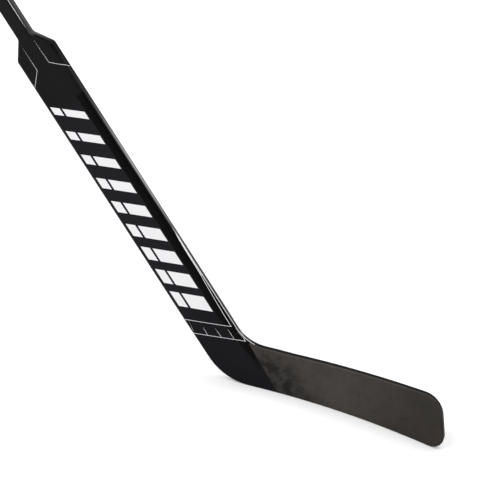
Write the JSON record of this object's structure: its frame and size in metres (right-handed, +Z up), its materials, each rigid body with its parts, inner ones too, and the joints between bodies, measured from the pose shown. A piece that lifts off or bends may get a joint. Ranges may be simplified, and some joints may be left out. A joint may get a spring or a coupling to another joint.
{
  "type": "hockey goalie stick",
  "caption": "Composite ice hockey goalie stick: hollow shaft, wide flat foam-cored paddle, and a curved blade on an angled heel, built up from skins, rails, cores and inserts.",
  "frame": {"origin": "heel corner: the point on the ice where the line of the paddle's back edge meets the line of the blade's bottom edge, in the middle of the stick's thickness", "axes": "+X along the blade to the toe, +Z up with the blade's bottom edge on z = 0, +Y out of the back; the front (forehand) face looks along -Y"},
  "size_m": [1.2583, 0.0588, 1.2397],
  "materials": {
    "shaft_lacquer": "gloss",
    "paddle_lacquer": "gloss",
    "edge_lacquer": "gloss",
    "blade_laminate": "satin",
    "line_paint": "gloss",
    "foam": "matte",
    "moulded_core": "matte",
    "plug_rubber": "matte"
  },
  "bodies": {
    "root": {"shaft_tube": "shaft_lacquer", "shaft_spigot": "moulded_core", "end_plug": "plug_rubber", "paddle_front_skin": "paddle_lacquer", "paddle_back_skin": "paddle_lacquer", "paddle_rail_back_side": "edge_lacquer", "paddle_rail_toe_side": "edge_lacquer", "paddle_core_back_side": "foam", "paddle_core_toe_side": "foam", "paddle_stringer": "moulded_core", "shoulder_block": "edge_lacquer", "heel_block": "edge_lacquer", "blade_front_skin": "blade_laminate", "blade_back_skin": "blade_laminate", "blade_rim": "blade_laminate", "blade_core_lower": "foam", "blade_rib": "moulded_core", "blade_core_upper": "foam"}
  },
  "joints": []
}
